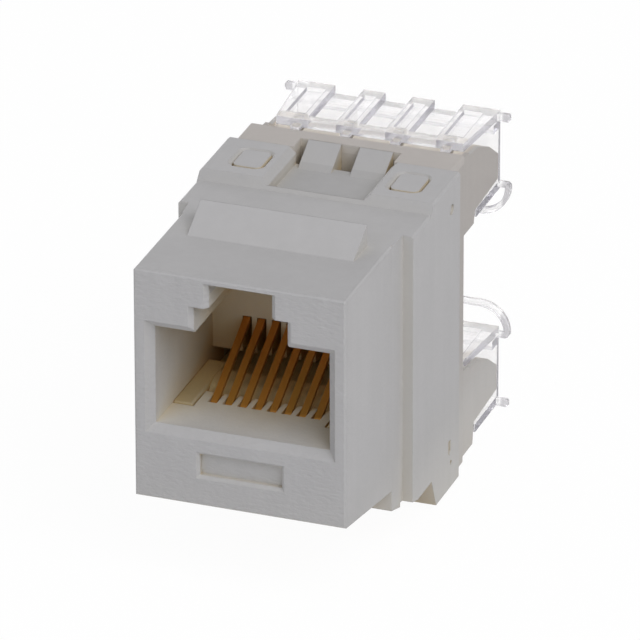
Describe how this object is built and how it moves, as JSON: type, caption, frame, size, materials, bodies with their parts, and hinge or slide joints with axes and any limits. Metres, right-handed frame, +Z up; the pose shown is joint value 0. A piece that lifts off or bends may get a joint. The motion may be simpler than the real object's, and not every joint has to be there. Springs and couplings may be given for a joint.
{
  "type": "ethernet socket insert",
  "caption": "Grey snap-in ethernet socket insert with a stepped plug opening, sprung gold contacts, a rear block with two tower rows and clear wire caps.",
  "frame": {"origin": "middle of the lower edge of the front face, on the plane that lies flush in a faceplate opening", "axes": "+X to the right seen from the front, +Y from the face to the wire caps, +Z up towards the top catch"},
  "size_m": [0.0162, 0.0304, 0.0235],
  "materials": {
    "housing_plastic": "fine matt texture",
    "carrier_plastic": "matt",
    "contact_metal": "gold plated, bright",
    "board_laminate": "lacquered",
    "block_plastic": "matt",
    "blade_metal": "tinned",
    "clear_plastic": "clear and glossy"
  },
  "bodies": {
    "root": {"jack_housing": "housing_plastic", "contact_carrier": "carrier_plastic", "contact_1": "contact_metal", "contact_2": "contact_metal", "contact_3": "contact_metal", "contact_4": "contact_metal", "contact_5": "contact_metal", "contact_6": "contact_metal", "contact_7": "contact_metal", "contact_8": "contact_metal", "circuit_board": "board_laminate", "terminal_block": "block_plastic", "idc_terminal_1": "blade_metal", "idc_terminal_2": "blade_metal", "idc_terminal_3": "blade_metal", "idc_terminal_4": "blade_metal", "idc_terminal_5": "blade_metal", "idc_terminal_6": "blade_metal", "idc_terminal_7": "blade_metal", "idc_terminal_8": "blade_metal", "wire_cap_upper": "clear_plastic", "wire_cap_lower": "clear_plastic"}
  },
  "joints": []
}
